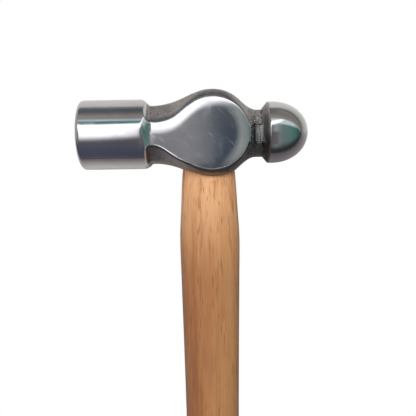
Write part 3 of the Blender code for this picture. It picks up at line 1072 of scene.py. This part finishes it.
def bench_material(settings):
    """A pale bench that falls into shade towards the butt; plain white behind the hammer."""
    material, paint = new_material("bench")
    x, y = paint.parts(paint.node("ShaderNodeTexCoord", output="Object"))[:2]
    # The bench is palest within 20 mm of the head's axis; under the ball the shade starts sooner
    ball_side = x.step(5 * MM, 25 * MM)
    below = (-1 * y - 20 * MM + 24 * MM * ball_side).math("MAXIMUM", 0.0) * (1 + 5 * ball_side)
    above = (y - 20 * MM).math("MAXIMUM", 0.0)
    right = (x - 45 * MM).math("MAXIMUM", 0.0)
    # Past that, the light is halved in 40 mm below, in 700 mm above and in 80 mm to the right
    shade = 1 / (1 + below / (40 * MM) + above / (700 * MM) + right / (80 * MM))
    color = paint.mix(shade, (0.14, 0.12, 0.14), settings.bench_color)
    top = paint.node("ShaderNodeBsdfPrincipled", Roughness=1.0,
                     **{"Base Color": color, "Specular IOR Level": 0.0})
    pale = paint.node("ShaderNodeEmission", Color=WHITE, Strength=1.0)
    camera_ray = paint.node("ShaderNodeLightPath", output="Is Camera Ray")
    shader = paint.node("ShaderNodeMixShader", **{"0": camera_ray, "1": top, "2": pale})
    finish_material(paint, shader)
    return material


def lay_bench(settings):
    bm = bmesh.new()
    bmesh.ops.create_grid(bm, x_segments=1, y_segments=1, size=3.0)
    bench = bmesh_object("bench", bm)
    bench.location = (EYE_CENTRE.x, EYE_CENTRE.y, CAD_BOX[0].z - 0.2 * MM)
    bench.data.materials.append(bench_material(settings))


def hang_lamp(name, power, size, place, target):
    """A soft lamp for the bench and the wood; it is hidden from the polished steel."""
    data = bpy.data.lights.new(name, "AREA")
    data.size = size
    data.energy = power
    data.color = LAMP_COLOR
    lamp = bpy.data.objects.new(name, data)
    lamp.location = EYE_CENTRE + place
    aim = EYE_CENTRE + target - lamp.location
    lamp.rotation_euler = aim.to_track_quat("-Z", "Y").to_euler()
    lamp.visible_glossy = False
    lamp.visible_camera = False
    bpy.context.scene.collection.objects.link(lamp)


def place_camera(settings):
    data = bpy.data.cameras.new("camera")
    data.sensor_width = 36.0
    data.lens = data.sensor_width / 2 / math.tan(settings.camera_view / 2)
    camera = bpy.data.objects.new("camera", data)
    camera.location = EYE_CENTRE + Vector((*CAMERA_OVER, settings.camera_height))
    camera.rotation_euler = (0.0, 0.0, settings.camera_roll)
    bpy.context.scene.collection.objects.link(camera)
    bpy.context.scene.camera = camera


# ---------------------------------------------------------------- operators

def place_piece(obj, material, node):
    """Moves a finished piece from the eye's centre into the frame and hands it over."""
    obj.data.transform(Matrix.Translation(EYE_CENTRE))
    obj.data.materials.clear()
    obj.data.materials.append(material)
    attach(obj, "root")
    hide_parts(node)


class HAMMER_OT_head(bpy.types.Operator):
    """Build the steel head and polish its turned and ground faces"""
    bl_idname = "hammer.head"
    bl_label = "Head"

    def execute(self, context):
        size = context.scene.hammer_head
        place_piece(build_head(size), head_material(size), "head")
        return {"FINISHED"}


class HAMMER_OT_handle(bpy.types.Operator):
    """Build the wooden handle with its tongue in the eye"""
    bl_idname = "hammer.handle"
    bl_label = "Handle"

    def execute(self, context):
        settings = context.scene.hammer_handle
        end_color = tuple(0.8 * c for c in settings.wood_dark)
        wood = wood_material("handle_wood", settings, end_color, coat=0.25)
        place_piece(build_handle(settings), wood, "handle")
        return {"FINISHED"}


class HAMMER_OT_wedges(bpy.types.Operator):
    """Build the wooden wedge and the two steel wedges in the end of the handle"""
    bl_idname = "hammer.wedges"
    bl_label = "Wedges"

    def execute(self, context):
        settings = context.scene.hammer_handle
        wood = wood_material("wedge_wood", settings, WEDGE_END_COLOR, coat=0.1)
        steel = steel_wedge_material()
        top = BOSS_TOP + 2 * MM
        wedge = wedge_solid("wood_wedge", wood_wedge_sizes, top, KERF_BOTTOM_Y)
        cut(wedge, [end_trim("wedge_trim", END_INSET), *wedge_slots()])
        place_piece(wedge, wood, "wooden_wedge")
        for node in STEEL_WEDGES:
            wedge = wedge_solid(f"driven_{node}", steel_wedge_sizes, top, STEEL_WEDGE_TIP_Y,
                                steel_wedge_x(node))
            cut(wedge, [end_trim("wedge_trim", END_INSET)])
            place_piece(wedge, steel, node)
        return {"FINISHED"}


class HAMMER_OT_stage(bpy.types.Operator):
    """Set the pale bench, the soft light and the camera over the hammer"""
    bl_idname = "hammer.stage"
    bl_label = "Stage"

    def execute(self, context):
        settings = context.scene.hammer_stage
        lay_bench(settings)
        world_light()
        hang_lamp("head_lamp", settings.lamp_power, size=0.25, place=HEAD_LAMP_PLACE,
                  target=Vector())
        hang_lamp("grip_lamp", settings.grip_lamp_power, size=0.1, place=GRIP_LAMP_PLACE,
                  target=BUTT)
        context.scene.view_settings.view_transform = "Standard"
        place_camera(settings)
        return {"FINISHED"}


class HAMMER_PT_panel(bpy.types.Panel):
    """Sizes, colours and building steps of the hammer"""
    bl_label = "Ball peen hammer"
    bl_idname = "HAMMER_PT_panel"
    bl_space_type = "VIEW_3D"
    bl_region_type = "UI"
    bl_category = "Hammer"

    def draw(self, context):
        for operator in OPERATORS:
            self.layout.operator(operator.bl_idname)
        for group in GROUPS:
            settings = getattr(context.scene, group)
            for name in settings.__annotations__:
                self.layout.prop(settings, name)


GROUPS = {
    "hammer_head": HeadSettings,
    "hammer_handle": HandleSettings,
    "hammer_stage": StageSettings,
}
OPERATORS = (HAMMER_OT_head, HAMMER_OT_handle, HAMMER_OT_wedges, HAMMER_OT_stage)


def register():
    for cls in (*GROUPS.values(), *OPERATORS, HAMMER_PT_panel):
        bpy.utils.register_class(cls)
    for name, cls in GROUPS.items():
        setattr(bpy.types.Scene, name, PointerProperty(type=cls))


def unregister():
    for name in GROUPS:
        delattr(bpy.types.Scene, name)
    for cls in reversed((*GROUPS.values(), *OPERATORS, HAMMER_PT_panel)):
        bpy.utils.unregister_class(cls)


def main():
    register()
    bpy.ops.hammer.head()
    bpy.ops.hammer.handle()
    bpy.ops.hammer.wedges()
    bpy.ops.hammer.stage()


if __name__ == "__main__":
    main()
